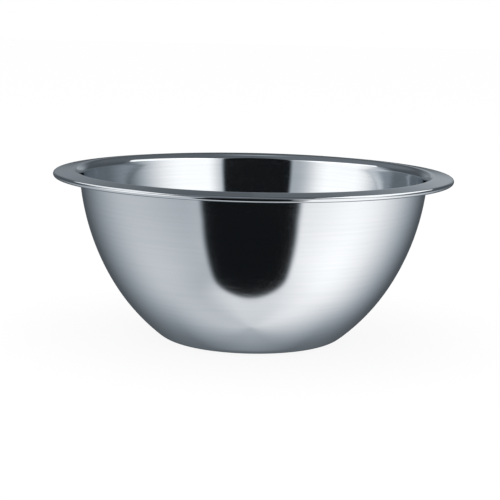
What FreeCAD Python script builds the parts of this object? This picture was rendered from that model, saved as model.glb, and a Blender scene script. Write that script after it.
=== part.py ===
"""Mixing bowl pressed from one disc of stainless steel sheet.

The whole bowl is a single strip of sheet turned about the Z axis.  The strip is walked
from the middle of the base outwards: a slightly raised panel, the flat ring that the
bowl stands on, a tight corner, the belly, the shoulder, the crown of the rim and the
sloping brim.  There the edge of the sheet is rolled under into a closed bead.

Millimetres, +Z up.  The origin is the middle of the plane that the bowl stands on.
"""

import FreeCAD, Part
import math
import os

# Driving dimensions of the whole bowl
RIM_DIAMETER = 240.0
HEIGHT = 102.0
SHEET = 0.6

# Base: the panel is pressed upwards, so that the bowl stands on the flat ring around it
PANEL_DIAMETER = 48.0
PANEL_RISE = 0.8
PANEL_EDGE_RADIUS = 50.0

# Wall: radii of the outside surface, and the slope where one arc meets the next
CORNER_RADIUS = 15.9
CORNER_SLOPE = 38.9
BELLY_RADIUS = 121.3
BELLY_SLOPE = 60.1
SHOULDER_RADIUS = 143.6

# Rim: the crown is its highest circle, and the brim slopes from there to the bead
CROWN_DIAMETER = 214.8
CROWN_RADIUS = 3.4
BRIM_DROOP = 6.5
BEAD_DIAMETER = 3.0

# The bowl is turned in equal parts, and bends tighter than this radius become splines.
# Both keep the faces of the rim even and light when they are meshed.
TURNED_PARTS = 3
TIGHT_RADIUS = 5.0

AXIS_FOOT = FreeCAD.Vector(0, 0, 0)
AXIS = FreeCAD.Vector(0, 0, 1)


def arc_edge(start, half_way, end):
    """Edge on the arc through three points."""
    edge = Part.Arc(start, half_way, end).toShape()
    if edge.Curve.Radius < TIGHT_RADIUS:
        edge = edge.Curve.toBSpline(edge.FirstParameter, edge.LastParameter).toShape()
    return edge


class SheetStrip:
    """Cross-section of bent sheet, grown along its middle line in the XZ plane."""

    def __init__(self, radius, height):
        self.middle = FreeCAD.Vector(radius, 0, height)
        self.heading = 0.0
        self.under = []
        self.upper = []

    def beside(self, middle, heading, offset):
        """Point beside the middle line: a positive offset is on the left of the heading."""
        return middle + FreeCAD.Vector(-math.sin(heading), 0, math.cos(heading)) * offset

    def sides(self):
        """The two sides of the sheet, each with its offset from the middle line."""
        return (self.under, -SHEET / 2), (self.upper, SHEET / 2)

    def run(self, length):
        """Straight stretch along the present heading."""
        along = FreeCAD.Vector(math.cos(self.heading), 0, math.sin(self.heading))
        end = self.middle + along * length
        for edges, offset in self.sides():
            first = self.beside(self.middle, self.heading, offset)
            last = self.beside(end, self.heading, offset)
            edges.append(Part.makeLine(first, last))
        self.middle = end

    def bend(self, radius, turn):
        """Arc of the middle line: a positive turn, in radians, curves to the left."""
        reach = math.copysign(radius, turn)
        centre = self.beside(self.middle, self.heading, reach)
        for edges, offset in self.sides():
            points = [
                self.beside(centre, self.heading + turn * share, offset - reach)
                for share in (0.0, 0.5, 1.0)
            ]
            edges.append(arc_edge(*points))
        self.heading += turn
        self.middle = self.beside(centre, self.heading, -reach)


def press_base(strip, ring_end):
    """Raised panel, its gentle step down, and the flat ring that the bowl stands on."""
    tilt = math.acos(1 - PANEL_RISE / (2 * PANEL_EDGE_RADIUS))
    ring_start = PANEL_DIAMETER / 2 + 2 * PANEL_EDGE_RADIUS * math.sin(tilt)
    strip.run(PANEL_DIAMETER / 2)
    strip.bend(PANEL_EDGE_RADIUS, -tilt)
    strip.bend(PANEL_EDGE_RADIUS, tilt)
    strip.run(ring_end - ring_start)


def wall_arcs():
    """Middle-line radius and closing slope of each arc of the wall, from the base upwards.

    The top slope is the one that brings the crown to the stated height.
    """
    corner, belly, shoulder = (
        radius - SHEET / 2 for radius in (CORNER_RADIUS, BELLY_RADIUS, SHOULDER_RADIUS)
    )
    crown = CROWN_RADIUS - SHEET / 2
    corner_slope = math.radians(CORNER_SLOPE)
    belly_slope = math.radians(BELLY_SLOPE)
    rise_if_upright = (
        corner * (1 - math.cos(corner_slope))
        + belly * (math.cos(corner_slope) - math.cos(belly_slope))
        + shoulder * math.cos(belly_slope)
        + crown
    )
    surplus = rise_if_upright - (HEIGHT - SHEET)
    top_slope = math.acos(surplus / (shoulder + crown))
    return [(corner, corner_slope), (belly, belly_slope), (shoulder, top_slope)]


def wall_width(arcs):
    """How far the wall and the inner half of the crown reach outwards from the base ring."""
    width = 0.0
    slope = 0.0
    for radius, next_slope in arcs:
        width += radius * (math.sin(next_slope) - math.sin(slope))
        slope = next_slope
    return width + (CROWN_RADIUS - SHEET / 2) * math.sin(slope)


def form_brim(strip):
    """Crown, and the straight brim that slopes down to the top of the bead."""
    droop = math.radians(BRIM_DROOP)
    bead_radius = BEAD_DIAMETER / 2
    across = (RIM_DIAMETER - BEAD_DIAMETER - CROWN_DIAMETER) / 2
    length = (across + (bead_radius - CROWN_RADIUS) * math.sin(droop)) / math.cos(droop)
    strip.bend(CROWN_RADIUS - SHEET / 2, -strip.heading - droop)
    strip.run(length)


def roll_bead(strip):
    """Roll the edge under the brim until it closes on the underside.

    The roll is tangent to the top of the brim.  Nothing can see or reach into it, so it is
    solid here.  Returns the closed outline of the whole strip.
    """
    radius = BEAD_DIAMETER / 2
    brim_top = strip.upper[-1].Vertexes[-1].Point
    centre = strip.beside(brim_top, strip.heading, -radius)
    turn = 2 * math.pi - math.acos((radius - SHEET) / radius)
    start, half_way, end = (
        strip.beside(centre, strip.heading - turn * share, radius) for share in (0.0, 0.5, 1.0)
    )
    bead = arc_edge(start, half_way, end)
    brim_under = Part.makeLine(strip.under.pop().Vertexes[0].Point, end)
    inner_edge = Part.makeLine(
        strip.under[0].Vertexes[0].Point, strip.upper[0].Vertexes[0].Point
    )
    return strip.under + [brim_under, bead] + strip.upper + [inner_edge]


def turned(outline):
    """Turn the outline about the bowl's axis into one solid."""
    part_angle = 360 / TURNED_PARTS
    face = Part.Face(Part.Wire(Part.__sortEdges__(outline)))
    wedges = []
    for number in range(TURNED_PARTS):
        start_face = face.rotated(AXIS_FOOT, AXIS, number * part_angle)
        wedges.append(start_face.revolve(AXIS_FOOT, AXIS, part_angle))
    return wedges[0].fuse(wedges[1:])


def make_bowl():
    """The bowl as one solid, because base, wall and rim are the same sheet."""
    arcs = wall_arcs()
    ring_end = CROWN_DIAMETER / 2 - wall_width(arcs)
    strip = SheetStrip(0.0, PANEL_RISE + SHEET / 2)
    press_base(strip, ring_end)
    for radius, slope in arcs:
        strip.bend(radius, slope - strip.heading)
    form_brim(strip)
    return turned(roll_bead(strip))


os.makedirs("parts", exist_ok=True)
bowl = make_bowl()
bowl.exportStep("parts/bowl.step")
size = bowl.optimalBoundingBox(False, False)
print(f"bowl: {size.XLength:.2f} x {size.YLength:.2f} x {size.ZLength:.2f} mm")
print(f"valid {bowl.isValid()}, solids {len(bowl.Solids)}, {bowl.Volume / 1000:.2f} cm3 of steel")
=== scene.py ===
import math

import bpy
import numpy as np
from mathutils import Matrix, Vector


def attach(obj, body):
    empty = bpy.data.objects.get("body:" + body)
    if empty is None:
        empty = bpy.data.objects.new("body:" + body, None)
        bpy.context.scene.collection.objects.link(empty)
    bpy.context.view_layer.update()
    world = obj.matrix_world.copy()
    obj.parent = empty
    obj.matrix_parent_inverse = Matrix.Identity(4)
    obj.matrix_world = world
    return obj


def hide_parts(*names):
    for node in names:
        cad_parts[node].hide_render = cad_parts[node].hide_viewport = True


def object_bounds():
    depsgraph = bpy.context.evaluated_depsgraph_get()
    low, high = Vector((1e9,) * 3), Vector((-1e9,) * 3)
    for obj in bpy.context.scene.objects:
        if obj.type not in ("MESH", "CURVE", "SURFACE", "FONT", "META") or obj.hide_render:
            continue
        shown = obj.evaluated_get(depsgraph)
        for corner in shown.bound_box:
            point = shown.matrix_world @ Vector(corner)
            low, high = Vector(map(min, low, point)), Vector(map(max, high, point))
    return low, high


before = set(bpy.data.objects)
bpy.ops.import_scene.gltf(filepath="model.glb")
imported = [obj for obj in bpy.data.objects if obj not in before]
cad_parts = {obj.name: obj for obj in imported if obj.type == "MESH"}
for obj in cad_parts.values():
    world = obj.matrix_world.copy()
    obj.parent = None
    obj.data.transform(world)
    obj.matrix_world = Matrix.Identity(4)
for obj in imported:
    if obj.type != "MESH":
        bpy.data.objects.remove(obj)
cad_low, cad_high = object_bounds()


# The bowl: one disc of stainless steel sheet, deep-drawn over a punch in several strokes.
# The brim is pressed outwards in the same sheet, slopes down from the crown, and its edge is
# rolled under into a hollow bead.  Inside and outside are then turned and mirror-polished.

MM = 0.001
HULL_GAP = 0.005 * MM           # keeps the mesh just within the outline of the solid model
RIM_RADIUS = -cad_low.x - HULL_GAP
HEIGHT = cad_high.z
SHEET = 0.6 * MM

PANEL_RADIUS = 24 * MM          # the middle of the base, pressed slightly upwards
PANEL_RISE = 0.8 * MM
PANEL_EDGE_RADIUS = 50 * MM
CORNER_RADIUS = 15.6 * MM       # bends of the sheet's middle line, from the base upwards
CORNER_SLOPE = math.radians(38.9)
BELLY_RADIUS = 121.0 * MM
BELLY_SLOPE = math.radians(60.1)
SHOULDER_RADIUS = 143.3 * MM
CROWN_RADIUS = 4.6 * MM         # bend at the top of the wall, a little softer than the solid's
CROWN_CIRCLE = 108.4 * MM       # distance of the crown from the axis
BRIM_DROOP = math.radians(6.5)
CURL_RADIUS = 1.2 * MM          # middle line of the curl, which is 3 mm across outside
CURL_TURN = math.radians(292)

SEGMENTS = 240                  # steps of the mesh round the bowl
PANEL_STEP = 3.0 * MM           # steps of the mesh along the sheet, finest in the tight bends
PANEL_EDGE_STEP = 1.0 * MM
RING_STEP = 1.5 * MM
CORNER_STEP = 0.6 * MM
WALL_STEP = 1.6 * MM
CROWN_STEP = 0.2 * MM
BRIM_STEP = 0.9 * MM
CURL_STEP = 0.16 * MM
FLOW = 2.5 * MM                 # stretch over which one bend of the wall eases into the next
FINE_STEP = 0.02 * MM           # step along the sheet in which its line is summed up


def bends_of_sheet():
    """Length, turn and mesh step of each stretch of the middle line, from the axis outwards.

    The stretches of the wall and of the rim are given apart.  The slope at the top of the wall
    is the one that brings the crown to the bowl's height.
    """
    tilt = math.acos(1 - PANEL_RISE / (2 * PANEL_EDGE_RADIUS))
    rise_if_upright = (
        CORNER_RADIUS * (1 - math.cos(CORNER_SLOPE))
        + BELLY_RADIUS * (math.cos(CORNER_SLOPE) - math.cos(BELLY_SLOPE))
        + SHOULDER_RADIUS * math.cos(BELLY_SLOPE)
        + CROWN_RADIUS
    )
    surplus = rise_if_upright - (HEIGHT - SHEET)
    top_slope = math.acos(surplus / (SHOULDER_RADIUS + CROWN_RADIUS))
    wall_width = (
        CORNER_RADIUS * math.sin(CORNER_SLOPE)
        + BELLY_RADIUS * (math.sin(BELLY_SLOPE) - math.sin(CORNER_SLOPE))
        + SHOULDER_RADIUS * (math.sin(top_slope) - math.sin(BELLY_SLOPE))
        + CROWN_RADIUS * math.sin(top_slope)
    )
    ring_end = CROWN_CIRCLE - wall_width
    ring_start = PANEL_RADIUS + 2 * PANEL_EDGE_RADIUS * math.sin(tilt)
    across = RIM_RADIUS - SHEET / 2 - CURL_RADIUS - CROWN_CIRCLE
    brim = (across + (CURL_RADIUS - CROWN_RADIUS) * math.sin(BRIM_DROOP)) / math.cos(BRIM_DROOP)
    panel = (PANEL_RADIUS, 0.0, PANEL_STEP)
    turn_down = (PANEL_EDGE_RADIUS * tilt, -tilt, PANEL_EDGE_STEP)
    turn_level = (PANEL_EDGE_RADIUS * tilt, tilt, PANEL_EDGE_STEP)
    standing_ring = (ring_end - ring_start, 0.0, RING_STEP)
    corner = (CORNER_RADIUS * CORNER_SLOPE, CORNER_SLOPE, CORNER_STEP)
    belly_turn = BELLY_SLOPE - CORNER_SLOPE
    belly = (BELLY_RADIUS * belly_turn, belly_turn, WALL_STEP)
    shoulder_turn = top_slope - BELLY_SLOPE
    shoulder = (SHOULDER_RADIUS * shoulder_turn, shoulder_turn, WALL_STEP)
    crown_turn = top_slope + BRIM_DROOP
    crown = (CROWN_RADIUS * crown_turn, -crown_turn, CROWN_STEP)
    flat_brim = (brim, 0.0, BRIM_STEP)
    curl = (CURL_RADIUS * CURL_TURN, -CURL_TURN, CURL_STEP)
    wall = [panel, turn_down, turn_level, standing_ring, corner, belly, shoulder]
    return wall, [crown, flat_brim, curl]


def sheet_line():
    """Under and upper side of the sheet as (radius, height) points, and their places along it.

    The heading of the wall is averaged over a short stretch, as the metal flows, so that a
    reflection runs across the joint of two bends without a kink.
    """
    wall, rim = bends_of_sheet()
    lengths, turns, steps = zip(*wall, *rim)
    ends = np.concatenate([[0.0], np.cumsum(lengths)])
    headings = np.concatenate([[0.0], np.cumsum(turns)])
    along = np.arange(FINE_STEP / 2, ends[-1], FINE_STEP)
    heading = np.interp(along, ends, headings)
    window = int(FLOW / FINE_STEP)
    padded = np.pad(heading, window, mode="edge")
    eased = np.convolve(padded, np.ones(window) / window, "same")[window:-window]
    wall_end = ends[len(wall)] - FLOW
    heading += (eased - heading) * np.clip((wall_end - along) / FLOW, 0, 1)
    radius = np.cumsum(np.cos(heading)) * FINE_STEP
    height = np.cumsum(np.sin(heading)) * FINE_STEP + PANEL_RISE + SHEET / 2
    picked = [0.0]
    for start, end, step in zip(ends[:-1], ends[1:], steps):
        count = max(2, round((end - start) / step))
        picked += list(np.linspace(start, end, count + 1)[1:])
    picked = np.array(picked)
    r = np.interp(picked, along, radius)
    z = np.interp(picked, along, height)
    h = np.interp(picked, along, heading)
    r[0] = 0.0
    half_sheet = np.stack([np.sin(h), -np.cos(h)], 1) * SHEET / 2
    middle = np.stack([r, z], 1)
    return middle + half_sheet, middle - half_sheet, picked


def lathed(name, under, upper, along):
    """Closed mesh of the sheet turned about the axis, with a single point at each pole.

    Faces of the upper side take the second material.  Every point keeps its distance along
    the sheet, which the polish lines follow.
    """
    ring = np.concatenate([under[1:], upper[:0:-1]])
    ring_along = np.concatenate([along[1:], along[:0:-1]])
    angles = np.arange(SEGMENTS) * 2 * math.pi / SEGMENTS
    circle = np.stack([np.cos(angles), np.sin(angles)], 1)
    rows = [np.column_stack([circle * r, np.full(SEGMENTS, z)]) for r, z in ring]
    poles = np.array([[0, 0, under[0, 1]], [0, 0, upper[0, 1]]])
    last = len(ring) - 1
    first = [2 + row * SEGMENTS for row in range(len(ring))]
    faces = []
    for column in range(SEGMENTS):
        beside = (column + 1) % SEGMENTS
        faces.append((0, first[0] + beside, first[0] + column))
        for low, high in zip(first[:-1], first[1:]):
            faces.append((low + column, low + beside, high + beside, high + column))
        faces.append((1, first[last] + column, first[last] + beside))
    mesh = bpy.data.meshes.new(name)
    mesh.from_pydata(np.concatenate([poles] + rows).tolist(), [], faces)
    lip = len(under) - 1
    sides = ([0] * lip + [1] * (last + 2 - lip)) * SEGMENTS
    mesh.polygons.foreach_set("material_index", sides)
    distances = np.concatenate([[0.0, 0.0], np.repeat(ring_along, SEGMENTS)])
    mesh.attributes.new("along_sheet", "FLOAT", "POINT").data.foreach_set("value", distances)
    mesh.shade_smooth()
    made = bpy.data.objects.new(name, mesh)
    bpy.context.scene.collection.objects.link(made)
    return made


def linear(code):
    """Colour for a socket from an sRGB hex code."""
    shares = [int(code[at:at + 2], 16) / 255 for at in (1, 3, 5)]
    return [s / 12.92 if s <= 0.04045 else ((s + 0.055) / 1.055) ** 2.4 for s in shares] + [1.0]


def add(tree, kind, inputs=None, **settings):
    """Add a node: inputs gives each socket a value, or the node or output that feeds it."""
    made = tree.nodes.new("ShaderNode" + kind)
    for name, value in settings.items():
        setattr(made, name, value)
    for socket, value in (inputs or {}).items():
        if isinstance(value, bpy.types.Node):
            value = value.outputs[0]
        if isinstance(value, bpy.types.NodeSocket):
            tree.links.new(value, made.inputs[socket])
        else:
            made.inputs[socket].default_value = value
    return made


# Stainless steel of the 18/10 kind, turned on a lathe against buffing wheels.  It gives the
# eye a nearly perfect mirror with a cool grey tint, and the fine lines that the wheels leave
# round the bowl.  The outside is buffed, and the inside is taken one grade further.
POLISH_LINE = 1.5 * MM          # real lines are under 0.05 mm: drawn coarser, so that they show
LINE_DEPTH = 0.0015 * MM
LINE_REACH = 1.6                # patches of line from the axis to the rim, so that lines run long
DRAW_WAVE = 28 * MM             # slow waves that deep drawing leaves in the wall
WAVE_DEPTH = 0.050 * MM
SCRATCH_LENGTH = 14 * MM
SCRATCH_WIDTH = 0.35 * MM       # real hairlines are under 0.1 mm: drawn coarser, as above
SCRATCH_LEAN = (40, 25, 0)      # widths by which a hairline strays as it runs round
SMUDGE = 35 * MM
SCRATCH_DULLING = 0.06          # roughness that hairlines add, and smudges from handling
SMUDGE_DULLING = 0.02
LINE_BRIGHT, LINE_DULL = 0.36, 0.64         # heights of the noise between which each mark sets in
SCRATCH_NONE, SCRATCH_FULL = 0.74, 0.86
SMUDGE_NONE, SMUDGE_FULL = 0.45, 0.75


def polished_steel(name, bright_colour, dull_colour, roughness):
    """Polished stainless steel with polish lines, drawing waves and hairline wear."""
    material = bpy.data.materials.new(name)
    material.use_nodes = True
    tree = material.node_tree
    tree.nodes.clear()
    place = add(tree, "TexCoord").outputs["Object"]
    flat_place = add(tree, "VectorMath", {0: place, 1: (1, 1, 0)}, operation="MULTIPLY")
    outwards = add(tree, "VectorMath", {0: flat_place}, operation="NORMALIZE")
    along = add(tree, "Attribute", attribute_name="along_sheet").outputs["Fac"]
    line_count = add(tree, "Math", {0: along, 1: 1 / POLISH_LINE}, operation="MULTIPLY")
    across_lines = add(tree, "CombineXYZ", {"Z": line_count})
    line_reach = (LINE_REACH, LINE_REACH, 0)
    line_place = add(tree, "VectorMath", {0: outwards, 1: line_reach, 2: across_lines},
                     operation="MULTIPLY_ADD")
    lines = add(tree, "TexNoise", {"Vector": line_place, "Scale": 1.0, "Detail": 3.0})
    waves = add(tree, "TexNoise", {"Vector": place, "Scale": 1 / DRAW_WAVE, "Detail": 1.0})
    scratch_count = add(tree, "Math", {0: along, 1: 1 / SCRATCH_WIDTH}, operation="MULTIPLY")
    lean = add(tree, "VectorMath", {0: outwards, 1: SCRATCH_LEAN}, operation="DOT_PRODUCT")
    leaning = add(tree, "Math", {0: scratch_count, 1: lean.outputs["Value"]}, operation="ADD")
    across_scratch = add(tree, "CombineXYZ", {"Z": leaning})
    turns = RIM_RADIUS / SCRATCH_LENGTH
    scratch_reach = (turns, turns, 0)
    scratch_place = add(tree, "VectorMath", {0: outwards, 1: scratch_reach, 2: across_scratch},
                        operation="MULTIPLY_ADD")
    streaks = add(tree, "TexNoise", {"Vector": scratch_place, "Scale": 1.0, "Detail": 0.0})
    scratches = add(tree, "MapRange", {0: streaks, 1: SCRATCH_NONE, 2: SCRATCH_FULL})
    smudges = add(tree, "TexNoise", {"Vector": place, "Scale": 1 / SMUDGE, "Detail": 4.0})
    handled = add(tree, "MapRange", {0: smudges, 1: SMUDGE_NONE, 2: SMUDGE_FULL})
    dulled = add(tree, "Math", {0: handled, 1: SMUDGE_DULLING, 2: roughness},
                 operation="MULTIPLY_ADD")
    rough = add(tree, "Math", {0: scratches, 1: SCRATCH_DULLING, 2: dulled},
                operation="MULTIPLY_ADD")
    line_tone = add(tree, "MapRange", {0: lines, 1: LINE_BRIGHT, 2: LINE_DULL})
    tone = add(tree, "Mix", {0: line_tone, 6: linear(bright_colour), 7: linear(dull_colour)},
               data_type="RGBA")
    wavy = add(tree, "Bump", {"Height": waves, "Distance": WAVE_DEPTH})
    lined = add(tree, "Bump", {"Height": lines, "Distance": LINE_DEPTH, "Normal": wavy})
    steel = add(tree, "BsdfPrincipled", {
        "Base Color": tone.outputs[2], "Metallic": 1.0, "Roughness": rough, "Normal": lined,
    })
    add(tree, "OutputMaterial", {"Surface": steel})
    return material


bowl = lathed("pressed_bowl", *sheet_line())
outside = polished_steel("buffed_stainless_steel", "#e7e9ec", "#e4e7ea", roughness=0.10)
inside = polished_steel("mirror_stainless_steel", "#e9ebee", "#e3e7ea", roughness=0.06)
bowl.data.materials.append(outside)
bowl.data.materials.append(inside)
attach(bowl, "root")
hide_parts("bowl")


# The table: a plain matt board, painted white, that the bowl stands on.  It belongs to the
# studio.  To the camera it is as white as the backdrop, with only the soft shadow under the
# bowl, and the steel mirrors the studio beyond it.

TABLE_SIDE = 12.0
TABLE_TOP = -0.05 * MM          # just clear of the standing ring, so that no faces coincide
SHADOW_SHARE = 0.10             # how much of the board's look comes from the light on it
PAINT_ROUGHNESS = 0.5
PAINT_GRAIN = 1.1 * MM          # grain of a rolled coat, as large as it needs to be to show
GRAIN_DEPTH = 0.02 * MM

reach = TABLE_SIDE / 2
corners = [(-reach, -reach), (reach, -reach), (reach, reach), (-reach, reach)]
table_mesh = bpy.data.meshes.new("table_board")
table_mesh.from_pydata([(x, y, TABLE_TOP) for x, y in corners], [], [(0, 1, 2, 3)])
table_board = bpy.data.objects.new("table_board", table_mesh)
bpy.context.scene.collection.objects.link(table_board)

paint = bpy.data.materials.new("matt_white_paint")
paint.use_nodes = True
tree = paint.node_tree
tree.nodes.clear()
ray = add(tree, "LightPath")
on_board = add(tree, "TexCoord").outputs["Object"]
grain = add(tree, "TexNoise", {"Vector": on_board, "Scale": 1 / PAINT_GRAIN, "Detail": 2.0})
rolled_on = add(tree, "Bump", {"Height": grain, "Distance": GRAIN_DEPTH})
painted = add(tree, "BsdfDiffuse", {
    "Color": linear("#f4f4f4"), "Roughness": PAINT_ROUGHNESS, "Normal": rolled_on,
})
white = add(tree, "Emission", {"Color": linear("#ffffff"), "Strength": 1.0})
to_camera = add(tree, "MixShader", {0: 1 - SHADOW_SHARE, 1: painted, 2: white})
lit = add(tree, "MixShader", {0: ray.outputs["Is Camera Ray"], 1: painted, 2: to_camera})
clear = add(tree, "BsdfTransparent")
from_above = add(tree, "MixShader", {0: ray.outputs["Is Glossy Ray"], 1: lit, 2: clear})
from_below = add(tree, "NewGeometry").outputs["Backfacing"]
board = add(tree, "MixShader", {0: from_below, 1: from_above, 2: clear})
add(tree, "OutputMaterial", {"Surface": board})
table_mesh.materials.append(paint)


# The studio: a dim room with a white diffusing panel on each side of the bowl and a black
# curtain behind the camera.  Only the polished steel sees it, and the camera sees white.
# Directions are in degrees: azimuth 0 is towards the camera and grows to the right.

# A fade names the sockets of its Map Range node: it runs from direction 1 to direction 2,
# and from level 3 to level 4, or from 0 to 1 where it gives no levels.  A level of 1 is white.
RAISED = {1: -10.0, 2: 3.0}     # from what the outside of the wall mirrors to the inside's

world = bpy.data.worlds.new("studio")
bpy.context.scene.world = world
world.use_nodes = True
tree = world.node_tree
tree.nodes.clear()
towards = add(tree, "SeparateXYZ", {0: add(tree, "TexCoord").outputs["Generated"]})
nearer = add(tree, "Math", {0: towards.outputs["Y"], 1: -1.0}, operation="MULTIPLY")
turn = add(tree, "Math", {0: towards.outputs["X"], 1: nearer}, operation="ARCTAN2")
azimuth = add(tree, "Math", {0: turn}, operation="DEGREES")
tilt = add(tree, "Math", {0: towards.outputs["Z"]}, operation="ARCSINE")
elevation = add(tree, "Math", {0: tilt}, operation="DEGREES")
raised = add(tree, "MapRange", {0: elevation, **RAISED}, interpolation_type="SMOOTHSTEP")


# The panels: white cloth on frames, one on each side, lit evenly from behind.  They fade
# round the sides of the bowl, further round below the rim than above it, and their edges
# next to the curtain are a little dimmer.

RIGHT_LOW_FADE = {1: 161.0, 2: 71.0, 3: 0.0, 4: 1.0}
RIGHT_LOW_EDGE = {1: 30.0, 2: 72.0, 3: 0.86, 4: 1.06}
RIGHT_HIGH_FADE = {1: 108.0, 2: 50.0, 3: 0.0, 4: 1.12}
RIGHT_HIGH_EDGE = {1: 20.0, 2: 34.0, 3: 0.45, 4: 1.0}
LEFT_LOW_FADE = {1: -162.0, 2: -89.0, 3: 0.0, 4: 0.53}
LEFT_LOW_EDGE = {1: -40.0, 2: -85.0, 3: 0.80, 4: 1.0}
LEFT_HIGH_FADE = {1: -116.0, 2: -74.0, 3: 0.0, 4: 1.12}
LEFT_HIGH_EDGE = {1: -28.0, 2: -56.0, 3: 0.32, 4: 1.0}
LEFT_TO_RIGHT = {1: -48.0, 2: 8.0}      # where the left one gives way to the right one
PANEL_LEAN = {1: -48.0, 2: -66.0, 3: 0.0, 4: 26.0}      # degrees further left, low down
PANEL_FOOT = {1: -44.0, 2: -60.0, 3: 1.0, 4: 0.89}
PANEL_TOP = {1: 32.0, 2: 17.0}

right_low = add(tree, "MapRange", {0: azimuth, **RIGHT_LOW_FADE}, interpolation_type="SMOOTHSTEP")
right_edge = add(tree, "MapRange", {0: azimuth, **RIGHT_LOW_EDGE}, interpolation_type="SMOOTHSTEP")
right_below = add(tree, "Math", {0: right_low, 1: right_edge}, operation="MULTIPLY")
right_high = add(tree, "MapRange", {0: azimuth, **RIGHT_HIGH_FADE},
                 interpolation_type="SMOOTHSTEP")
right_near = add(tree, "MapRange", {0: azimuth, **RIGHT_HIGH_EDGE},
                 interpolation_type="SMOOTHSTEP")
right_above = add(tree, "Math", {0: right_high, 1: right_near}, operation="MULTIPLY")
right_panel = add(tree, "Mix", {0: raised, 2: right_below, 3: right_above})
left_low = add(tree, "MapRange", {0: azimuth, **LEFT_LOW_FADE}, interpolation_type="SMOOTHSTEP")
left_edge = add(tree, "MapRange", {0: azimuth, **LEFT_LOW_EDGE}, interpolation_type="SMOOTHSTEP")
left_below = add(tree, "Math", {0: left_low, 1: left_edge}, operation="MULTIPLY")
left_high = add(tree, "MapRange", {0: azimuth, **LEFT_HIGH_FADE}, interpolation_type="SMOOTHSTEP")
left_near = add(tree, "MapRange", {0: azimuth, **LEFT_HIGH_EDGE}, interpolation_type="SMOOTHSTEP")
left_above = add(tree, "Math", {0: left_high, 1: left_near}, operation="MULTIPLY")
left_panel = add(tree, "Mix", {0: raised, 2: left_below, 3: left_above})
lean = add(tree, "MapRange", {0: elevation, **PANEL_LEAN}, interpolation_type="SMOOTHSTEP")
leaning = add(tree, "Math", {0: azimuth, 1: lean}, operation="ADD")
on_right = add(tree, "MapRange", {0: leaning, **LEFT_TO_RIGHT}, interpolation_type="SMOOTHSTEP")
both = add(tree, "Mix", {0: on_right, 2: left_panel, 3: right_panel})
low_fade = add(tree, "MapRange", {0: elevation, **PANEL_FOOT}, interpolation_type="SMOOTHSTEP")
panel_top = add(tree, "MapRange", {0: elevation, **PANEL_TOP}, interpolation_type="SMOOTHSTEP")
panel_ends = add(tree, "Math", {0: panel_top, 1: low_fade}, operation="MULTIPLY")
panels = add(tree, "Math", {0: both, 1: panel_ends}, operation="MULTIPLY")


# The room: dim painted walls.  The far wall glows faintly just above the height of the rim,
# more so on the right.  High up, all but the part straight behind the bowl is a little
# lighter, and so are the ceiling and the floor.

ROOM_LEVEL = 0.105
FAR_WALL_LEFT, FAR_WALL_RIGHT = 0.17, 0.30
FAR_WALL = {1: 150.0, 2: 170.0}
FAR_WALL_FOOT = {1: -2.0, 2: 7.0}
FAR_WALL_TOP = {1: 24.0, 2: 8.0}
CEILING = {1: 74.0, 2: 90.0, 3: ROOM_LEVEL, 4: 0.40}
HIGH_WALL_LEFT, HIGH_WALL_RIGHT = 0.09, 0.04
HIGH_WALL = {1: 16.0, 2: 34.0}
HIGH_WALL_END = {1: 178.0, 2: 152.0}
FLOOR = {1: -14.0, 2: -44.0, 3: 0.0, 4: 0.06}

off_front = add(tree, "Math", {0: azimuth}, operation="ABSOLUTE")
glow_far = add(tree, "MapRange", {0: off_front, **FAR_WALL}, interpolation_type="SMOOTHSTEP")
glow_low = add(tree, "MapRange", {0: elevation, **FAR_WALL_FOOT}, interpolation_type="SMOOTHSTEP")
glow_high = add(tree, "MapRange", {0: elevation, **FAR_WALL_TOP}, interpolation_type="SMOOTHSTEP")
glow_side = add(tree, "Mix", {0: on_right, 2: FAR_WALL_LEFT, 3: FAR_WALL_RIGHT})
glow_band = add(tree, "Math", {0: glow_low, 1: glow_high}, operation="MULTIPLY")
glow_level = add(tree, "Math", {0: glow_side, 1: glow_band}, operation="MULTIPLY")
glow = add(tree, "Math", {0: glow_far, 1: glow_level}, operation="MULTIPLY")
ceiling = add(tree, "MapRange", {0: elevation, **CEILING}, interpolation_type="SMOOTHSTEP")
high_up = add(tree, "MapRange", {0: elevation, **HIGH_WALL}, interpolation_type="SMOOTHSTEP")
high_end = add(tree, "MapRange", {0: off_front, **HIGH_WALL_END}, interpolation_type="SMOOTHSTEP")
high_side = add(tree, "Mix", {0: on_right, 2: HIGH_WALL_LEFT, 3: HIGH_WALL_RIGHT})
high_band = add(tree, "Math", {0: high_up, 1: high_end}, operation="MULTIPLY")
high_wall = add(tree, "Math", {0: high_side, 1: high_band, 2: ceiling}, operation="MULTIPLY_ADD")
room = add(tree, "Math", {0: glow, 1: high_wall}, operation="ADD")
floor = add(tree, "MapRange", {0: elevation, **FLOOR}, interpolation_type="SMOOTHSTEP")
walls = add(tree, "Math", {0: room, 1: floor}, operation="ADD")
sides = add(tree, "Math", {0: panels, 1: walls}, operation="ADD")


# The table as the steel mirrors it: the same white board, lit evenly, straight below the
# bowl.  It fades into the room towards the sides.

TABLE_LEVEL = 0.70
TABLE_SPREAD = {1: -54.0, 2: -102.0}    # ends past straight down, so some of the room stays

downwards = add(tree, "MapRange", {0: elevation, **TABLE_SPREAD})
around = add(tree, "Mix", {0: downwards, 2: sides, 3: TABLE_LEVEL})


# The curtain: black cloth behind the camera, from the table's front edge to well above the
# rim.  It is a soft-edged oval of directions, slightly left of the middle, that stays at
# full width between its two rounded ends.

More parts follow.
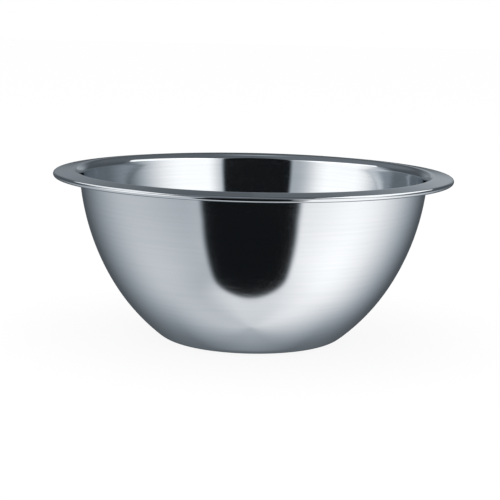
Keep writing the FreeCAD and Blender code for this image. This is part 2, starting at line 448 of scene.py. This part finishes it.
CURTAIN_LEVEL = 0.009
LOW_HALF_WIDTH = {1: -54.0, 2: -26.0, 3: 37.0, 4: 33.0}
HIGH_HALF_WIDTH = 24.5
LOW_SHIFT, HIGH_SHIFT = 1.5, 2.5        # degrees to the left
LOWER_END = {1: -55.0, 2: -81.0, 3: 0.0, 4: 2.0}        # 0 is full width, and 1 is its tip
UPPER_END = {1: 18.0, 2: 62.0, 3: 0.0, 4: 2.0}
CURTAIN_EDGE = {1: 1.14, 2: 0.86}       # squared distance from the middle, where 1 is the edge

low_width = add(tree, "MapRange", {0: elevation, **LOW_HALF_WIDTH})
half_width = add(tree, "Mix", {0: raised, 2: low_width, 3: HIGH_HALF_WIDTH})
middle = add(tree, "Mix", {0: raised, 2: LOW_SHIFT, 3: HIGH_SHIFT})
from_middle = add(tree, "Math", {0: azimuth, 1: middle}, operation="ADD")
beside = add(tree, "Math", {0: from_middle, 1: half_width}, operation="DIVIDE")
below = add(tree, "MapRange", {0: elevation, **LOWER_END})
above = add(tree, "MapRange", {0: elevation, **UPPER_END})
past_ends = add(tree, "Math", {0: below, 1: above}, operation="ADD")
beside_squared = add(tree, "Math", {0: beside, 1: beside}, operation="MULTIPLY")
ends_squared = add(tree, "Math", {0: past_ends, 1: past_ends}, operation="MULTIPLY")
off_middle = add(tree, "Math", {0: beside_squared, 1: ends_squared}, operation="ADD")
curtain = add(tree, "MapRange", {0: off_middle, **CURTAIN_EDGE}, interpolation_type="SMOOTHSTEP")
mirrored = add(tree, "Mix", {0: curtain, 2: around, 3: CURTAIN_LEVEL})


# The steel's own mirroring: what it mirrors a second time is dimmed to a soft grey, as the
# real polish blurs it.  It is lightest where the second reflection looks up and out of the
# bowl.  The whole studio is then tinted, cooler where it is darker.

MIRRORED_ONCE = 2.5             # ray depths below this have met the steel once
DIM_ON_RIGHT = {1: 5.0, 2: 60.0, 3: 0.42, 4: 0.20}
DIM_ON_LEFT = {1: -28.0, 2: -46.0, 3: 0.36, 4: 0.21}
DIM_LEFT_TO_RIGHT = {1: -12.0, 2: 8.0}
OUT_OF_BOWL = {1: 14.0, 2: 44.0}
OUT_OF_BOWL_LEVEL = 0.85
OVERHEAD = {1: 62.0, 2: 84.0}
OVERHEAD_LEVEL = 0.62

ray = add(tree, "LightPath")
twice = add(tree, "Math", {0: ray.outputs["Ray Depth"], 1: MIRRORED_ONCE},
            operation="GREATER_THAN")
dim_on_right = add(tree, "MapRange", {0: off_front, **DIM_ON_RIGHT},
                   interpolation_type="SMOOTHSTEP")
dim_level = add(tree, "MapRange", {0: azimuth, **DIM_ON_LEFT}, interpolation_type="SMOOTHSTEP")
dim_raised = add(tree, "MapRange", {0: elevation, **OUT_OF_BOWL}, interpolation_type="SMOOTHSTEP")
dim_on_left = add(tree, "Mix", {0: dim_raised, 2: dim_level, 3: OUT_OF_BOWL_LEVEL})
dim_side = add(tree, "MapRange", {0: azimuth, **DIM_LEFT_TO_RIGHT},
               interpolation_type="SMOOTHSTEP")
dim = add(tree, "Mix", {0: dim_side, 2: dim_on_left, 3: dim_on_right})
overhead = add(tree, "MapRange", {0: elevation, **OVERHEAD}, interpolation_type="SMOOTHSTEP")
dimmed = add(tree, "Mix", {0: overhead, 2: dim, 3: OVERHEAD_LEVEL})
level = add(tree, "Mix", {0: twice, 2: mirrored, 3: dimmed})

tint = add(tree, "Mix", {0: level, 6: linear("#e0f1ff"), 7: linear("#ffffff")}, data_type="RGBA")
studio = add(tree, "Background", {"Color": tint.outputs[2], "Strength": level})
backdrop = add(tree, "Background", {"Color": linear("#ffffff"), "Strength": 1.0})
shown = add(tree, "MixShader", {0: ray.outputs["Is Glossy Ray"], 1: backdrop, 2: studio})
add(tree, "OutputWorld", {"Surface": shown})
bpy.context.scene.view_settings.view_transform = "Standard"


# Two soft lamps hang close above the sides of the bowl.  They draw the bright line along the
# bead, and only the steel sees them.  A wide soft lamp above lights the table alone.

# Left, front, right and rear edge and height above the rim in millimetres, and brightness.
CLOSE_LAMPS = {
    "right_lamp": (80, -150, 265, 115, 110, 1.1),
    "left_lamp": (-245, -150, -100, 115, 110, 0.85),
}
TABLE_LAMP = (-900, -700, 700, 900, 1400, 1.2)


def soft_lamp(name, left, front, right, rear, above_rim, brightness):
    """Flat lamp, placed in millimetres, that faces down and looks as bright as it is told.

    Nothing of it is left in what the steel mirrors of its own mirroring.
    """
    lamp = bpy.data.lights.new(name, "AREA")
    lamp.shape = "RECTANGLE"
    lamp.size = (right - left) * MM
    lamp.size_y = (rear - front) * MM
    lamp.energy = brightness * math.pi * lamp.size * lamp.size_y
    lamp.use_nodes = True
    lamp.node_tree.nodes.clear()
    path = add(lamp.node_tree, "LightPath")
    once = add(lamp.node_tree, "Math", {0: path.outputs["Ray Depth"], 1: MIRRORED_ONCE},
               operation="LESS_THAN")
    emitted = add(lamp.node_tree, "Emission", {"Strength": once})
    add(lamp.node_tree, "OutputLight", {"Surface": emitted})
    hung = bpy.data.objects.new(name, lamp)
    hung.location = ((left + right) / 2 * MM, (front + rear) / 2 * MM, HEIGHT + above_rim * MM)
    bpy.context.scene.collection.objects.link(hung)
    hung.visible_camera = False
    return hung


for name, edges_and_brightness in CLOSE_LAMPS.items():
    close_lamp = soft_lamp(name, *edges_and_brightness)
    close_lamp.visible_diffuse = False
table_lamp = soft_lamp("table_lamp", *TABLE_LAMP)
table_lamp.visible_glossy = False


# The camera of the photograph, found from the outline of the bowl in its square frame.  It
# stands in front of the bowl and looks slightly down at it, rolled a little.

FRAME_SIDE = 500                # pixels
SENSOR = 36                     # millimetres, as the camera's settings take them
EYE_DISTANCE = 8 * RIM_RADIUS
EYE_ELEVATION = math.radians(9.385)
ROLL = math.radians(1.27)       # the photographed rim falls to the right by this much
BEAD_HEIGHT = 99.2 * MM         # the middle of the rolled bead
LOOK_DROP = 0.42                # rim radii from there down to the height looked at
PIXELS_PER_RADIUS = 197.36      # at the point looked at
LOOK_RIGHT = 1.73               # pixels by which that point shows right of the middle
LOOK_BELOW = 7.54               # and below it

towards_eye = Vector((0, -math.cos(EYE_ELEVATION), math.sin(EYE_ELEVATION)))
level_right = Vector((1, 0, 0))
level_up = towards_eye.cross(level_right)
right = level_right * math.cos(ROLL) + level_up * math.sin(ROLL)
up = level_up * math.cos(ROLL) - level_right * math.sin(ROLL)
pixel = RIM_RADIUS / PIXELS_PER_RADIUS
look_at = Vector((0, 0, BEAD_HEIGHT - LOOK_DROP * RIM_RADIUS))
eye = look_at + towards_eye * EYE_DISTANCE
aim = look_at + (up * LOOK_BELOW - right * LOOK_RIGHT) * pixel
back = (eye - aim).normalized()
side = up.cross(back).normalized()
camera_data = bpy.data.cameras.new("photo_camera")
camera_data.sensor_width = SENSOR
camera_data.lens = SENSOR * EYE_DISTANCE / (pixel * FRAME_SIDE)
camera = bpy.data.objects.new("photo_camera", camera_data)
bpy.context.scene.collection.objects.link(camera)
axes = Matrix((side, back.cross(side), back)).transposed().to_4x4()
camera.matrix_world = Matrix.Translation(eye) @ axes
bpy.context.scene.camera = camera
